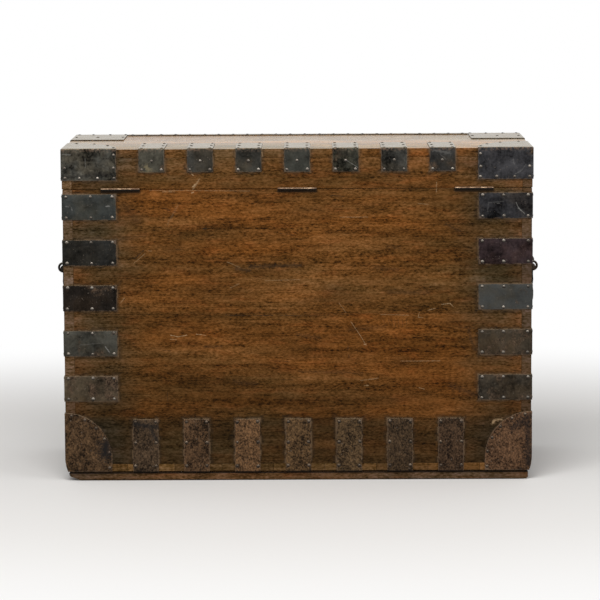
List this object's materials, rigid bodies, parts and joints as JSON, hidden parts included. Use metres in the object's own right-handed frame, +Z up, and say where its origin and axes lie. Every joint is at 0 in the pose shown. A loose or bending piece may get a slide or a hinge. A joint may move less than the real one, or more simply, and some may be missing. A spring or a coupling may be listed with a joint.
{
  "type": "metal-bound trunk",
  "caption": "Oak trunk bound with nailed iron straps, corner irons and brackets, with a lid hinged at the back, drop handles on the ends and a chest lock.",
  "frame": {"origin": "on the floor, under the middle of the trunk's box", "axes": "+X along the length, to the right as the hinged back is faced; +Y from the hinged back to the lock front; +Z up"},
  "size_m": [0.9984, 0.4267, 0.6824],
  "materials": {
    "oak": "old oiled oak, open pores, dark and dirty near the irons",
    "oak_end_grain": "bare, dusty end grain of the bottom boards",
    "dark_iron": "hoop iron with a blue-black patina and worn edges",
    "rusty_iron": "hoop iron with brown, mottled rust",
    "worn_steel": "worn steel with a brown tint",
    "brass": "dull brass"
  },
  "bodies": {
    "carcass": {"end_left": "oak", "end_right": "oak", "back_lower": "oak", "back_upper": "oak", "front": "oak", "bottom_left": "oak_end_grain", "bottom_right": "oak_end_grain", "runner_back": "oak", "runner_front": "oak", "end_strap_left_1": "dark_iron", "end_strap_left_2": "dark_iron", "end_strap_left_3": "dark_iron", "end_strap_left_4": "dark_iron", "end_strap_left_5": "dark_iron", "end_strap_right_1": "dark_iron", "end_strap_right_2": "dark_iron", "end_strap_right_3": "dark_iron", "end_strap_right_4": "dark_iron", "end_strap_right_5": "dark_iron", "base_strap_1": "rusty_iron", "base_strap_2": "rusty_iron", "base_strap_3": "rusty_iron", "base_strap_4": "rusty_iron", "base_strap_5": "rusty_iron", "base_strap_6": "rusty_iron", "base_strap_7": "rusty_iron", "base_corner_back_left": "rusty_iron", "base_corner_back_right": "rusty_iron", "base_corner_front_left": "rusty_iron", "base_corner_front_right": "rusty_iron", "hinge_1_base_leaf": "worn_steel", "hinge_2_base_leaf": "worn_steel", "hinge_3_base_leaf": "worn_steel", "handle_plate_left": "dark_iron", "handle_plate_right": "dark_iron", "lock_case": "worn_steel"},
    "lid": {"lid_rail_left": "oak", "lid_rail_right": "oak", "lid_rail_back": "oak", "lid_rail_front": "oak", "lid_top": "oak", "lid_bracket_1": "dark_iron", "lid_bracket_2": "dark_iron", "lid_bracket_3": "dark_iron", "lid_bracket_4": "dark_iron", "lid_bracket_5": "dark_iron", "lid_bracket_6": "dark_iron", "lid_bracket_7": "dark_iron", "lid_corner_back_left": "dark_iron", "lid_corner_back_right": "dark_iron", "lid_corner_front_left": "dark_iron", "lid_corner_front_right": "dark_iron", "lid_edging": "dark_iron", "hinge_1_lid_leaf": "worn_steel", "hinge_2_lid_leaf": "worn_steel", "hinge_3_lid_leaf": "worn_steel", "lock_striker": "worn_steel"},
    "handle_left": {"handle_bail_left": "dark_iron"},
    "handle_right": {"handle_bail_right": "dark_iron"},
    "lock_bolt": {"lock_bolt": "brass"}
  },
  "joints": [
    {"name": "lid_hinge", "type": "hinge", "parent": "carcass", "child": "lid", "pos_m": [0, -0.2115, 0.5981], "axis": [1, 0, 0], "range_deg": [0, 175]},
    {"name": "handle_left_swing", "type": "hinge", "parent": "carcass", "child": "handle_left", "pos_m": [-0.4866, 0, 0.42161], "axis": [0, 1, 0], "range_deg": [0, 170]},
    {"name": "handle_right_swing", "type": "hinge", "parent": "carcass", "child": "handle_right", "pos_m": [0.4866, 0, 0.42161], "axis": [0, -1, 0], "range_deg": [0, 170]},
    {"name": "lock_bolt_slide", "type": "slide", "parent": "carcass", "child": "lock_bolt", "axis": [-1, 0, 0], "range_m": [0, 0.009]}
  ]
}
